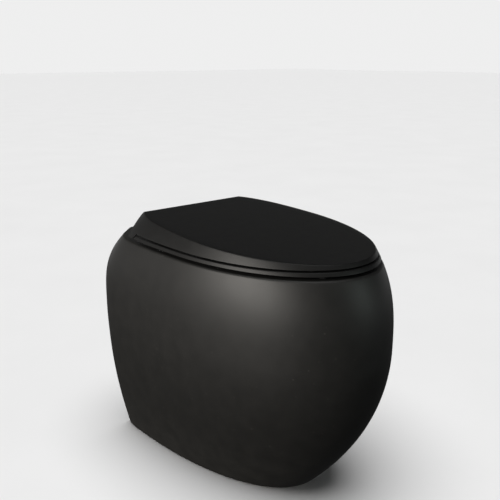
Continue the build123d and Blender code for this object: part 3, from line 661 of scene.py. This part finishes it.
def lidSkin():
    # The band up the outside, the top plane, the same again one wall further in, and the rim between them.
    sine, cosine = arc(6)
    r, q, w = lid["round"], lid["lowRound"], lid["wall"]
    band = [lidRow(0, q * (1 - s), q * (1 - c), 0) for s, c in zip(sine, cosine)]
    band += [lidRow(t, 0, q * (1 - t), r * t) for t in np.linspace(0, 1, lidRows["band"])[1:]]
    band += [lidRow(1, r * (1 - c), 0, r * (1 - s)) for s, c in zip(sine[1:], cosine[1:])]
    band = stacked(band)
    inside = [lidRow(0, w - q * (1 - s), q * (1 - c), 0) for s, c in zip(sine, cosine)]
    inside += [lidRow(t, w, q * (1 - t), lid["ceiling"] * t) for t in np.linspace(0, 1, lidRows["inside"])[1:]]
    inside = stacked(inside)
    half = len(lidAlong)
    top = between(band[-1, :half], band[-1, ::-1][:half], lidRows["top"])
    ceiling = between(inside[-1, :half], inside[-1, ::-1][:half], lidRows["top"])
    return makePiece("lidSkin", [
        (band, False, False), (top, False, False), (inside, False, False), (ceiling, False, False),
        (between(band[0], inside[0], lidRows["rim"]), False, False),
    ], "lid", "black_lid", sharp=40, fill=True)


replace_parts(lidSkin(), "lid")
lidEye = {"near": 0.0926, "far": 0.1126,
          "corners": [(0.082, 0.448), (0.0822, 0.4673), (0.110, 0.4655), (0.104, 0.448)]}
plate("lidEyeLeft", (-lidEye["far"], -lidEye["near"]), lidEye["corners"], "lid", "black_lid")
plate("lidEyeRight", (lidEye["near"], lidEye["far"]), lidEye["corners"], "lid", "black_lid")

lidBoss = {"low": 0.438, "radius": 0.009, "edge": 0.0006, "sideways": (0.140, 0.070), "depths": (0.300, 0.480)}


def boss(name, x, depth):
    # A short round post from the lid's ceiling down to its rubber buffer: circles of two radii.
    turn = np.linspace(0, 2 * math.pi, 41)[:-1]
    low, radius, edge = lidBoss["low"], lidBoss["radius"], lidBoss["edge"]
    high = lid["topAtWall"] - lid["fall"] * depth - lid["wall"] / 2
    rows = [np.stack([x + r * np.cos(turn), wallY - depth + r * np.sin(turn), np.full(len(turn), z)], -1)
            for r, z in ((radius - edge, low), (radius, low + edge), (radius, high))]
    return makePiece(name, [(np.array(rows), True, False)], "lid", "black_lid", fill=True)


number = 0
for x, depth in zip(lidBoss["sideways"], lidBoss["depths"]):
    for side in (1, -1):
        number += 1
        boss("lidBoss" + str(number), side * x, depth)
print("pieces done")

floorReach, floorHeight = 30, -0.0003
floorMesh = bpy.data.meshes.new("floor")
floorMesh.from_pydata([(x * floorReach, y * floorReach, floorHeight) for x, y in ((-1, -1), (1, -1), (1, 1), (-1, 1))],
                      [], [(0, 1, 2, 3)])
floor = bpy.data.objects.new("floor", floorMesh)
bpy.context.scene.collection.objects.link(floor)
floorLook = {"dark": (0.80, 0.80, 0.80), "light": (0.85, 0.85, 0.85), "rough": 0.85, "spread": 0.05, "scale": 3.0,
             "peel": 0.5, "tooth": 0.5, "deep": 0.0002, "specular": 0.2}
floorMesh.materials.append(surface("floor_look", floorLook))
floor.visible_glossy = False  # a pale floor would otherwise show in the dark glaze
floor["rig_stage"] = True

# The surround is pale at the horizon and dark overhead and below, by how steep the direction is.
sky = {"From Min": 0.09, "From Max": 0.20, "To Min": 0.86, "To Max": 0.06}
world = bpy.data.worlds.new("studio")
bpy.context.scene.world = world
world.use_nodes = True
worldNodes, worldLink = world.node_tree.nodes, world.node_tree.links.new
skyPlace, skySplit, skyRamp = (worldNodes.new("ShaderNode" + k) for k in ("TexCoord", "SeparateXYZ", "MapRange"))
for socket, value in sky.items():
    skyRamp.inputs[socket].default_value = value
worldLink(skyPlace.outputs["Generated"], skySplit.inputs["Vector"])
skySteep = worldNodes.new("ShaderNodeMath")
skySteep.operation = "ABSOLUTE"
worldLink(skySplit.outputs["Z"], skySteep.inputs[0])
worldLink(skySteep.outputs[0], skyRamp.inputs["Value"])
# Seen straight, the surround is as pale as its horizon.
skySeen, skyMix = worldNodes.new("ShaderNodeLightPath"), worldNodes.new("ShaderNodeMix")
skyMix.inputs["B"].default_value = sky["To Min"]
worldLink(skySeen.outputs["Is Camera Ray"], skyMix.inputs["Factor"])
worldLink(skyRamp.outputs["Result"], skyMix.inputs["A"])
worldLink(skyMix.outputs["Result"], worldNodes["Background"].inputs["Color"])


# An area lamp's size is its width and height in metres, the distant lamp's is its angle in degrees.
lamps = {
    "overhead": {"kind": "SUN", "place": (-0.5, -0.3, 5), "target": (0, 0, 0), "power": 3.0,
                 "colour": (1, 1, 1), "size": 55},
    "key": {"kind": "AREA", "place": (-3.0, 0.10, 1.05), "target": (-0.15, -0.1, 0.33), "power": 430,
            "colour": (1.0, 0.96, 0.90), "size": (1.9, 1.7)},
    "fill": {"kind": "AREA", "place": (1.4, -3.2, 1.4), "target": (0, -0.1, 0.3), "power": 60,
             "colour": (0.88, 1.0, 0.94), "size": (1.5, 1.5)},
}


def lamp(name, kind, place, target, power, colour, size):
    # A rectangular or distant lamp facing a point.
    data = bpy.data.lights.new(name, kind)
    data.energy, data.color = power, colour
    if kind == "AREA":
        data.shape = "RECTANGLE"
        data.size, data.size_y = size
    else:
        data.angle = math.radians(size)
    made = bpy.data.objects.new(name, data)
    offset = np.array(place) - np.array(target)
    made.location = place
    made.rotation_euler = (math.atan2(math.hypot(offset[0], offset[1]), offset[2]), 0,
                           math.atan2(offset[1], offset[0]) + math.pi / 2)
    bpy.context.scene.collection.objects.link(made)
    return made


made = {name: lamp(name, **values) for name, values in lamps.items()}
# The two side lamps light only the object, so the floor beside it stays even.
lit = bpy.data.collections.new("lit")
for piece in [o for o in bpy.data.objects if o.type == "MESH" and not o.get("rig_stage")]:
    lit.objects.link(piece)
for name in ("key", "fill"):
    made[name].light_linking.receiver_collection = lit
bpy.context.scene.view_settings.view_transform = "Standard"
print("stage done")

shot = {"sensor": 36, "lens": 51.77, "place": (-0.85057, -0.94009, 0.75642), "down": 0.2640, "turn": -0.7223}
view = bpy.data.cameras.new("camera")
view.sensor_width = shot["sensor"]
view.lens = shot["lens"]
camera = bpy.data.objects.new("camera", view)
camera.location = shot["place"]
camera.rotation_euler = (math.pi / 2 - shot["down"], 0, shot["turn"])
bpy.context.scene.collection.objects.link(camera)
bpy.context.scene.camera = camera
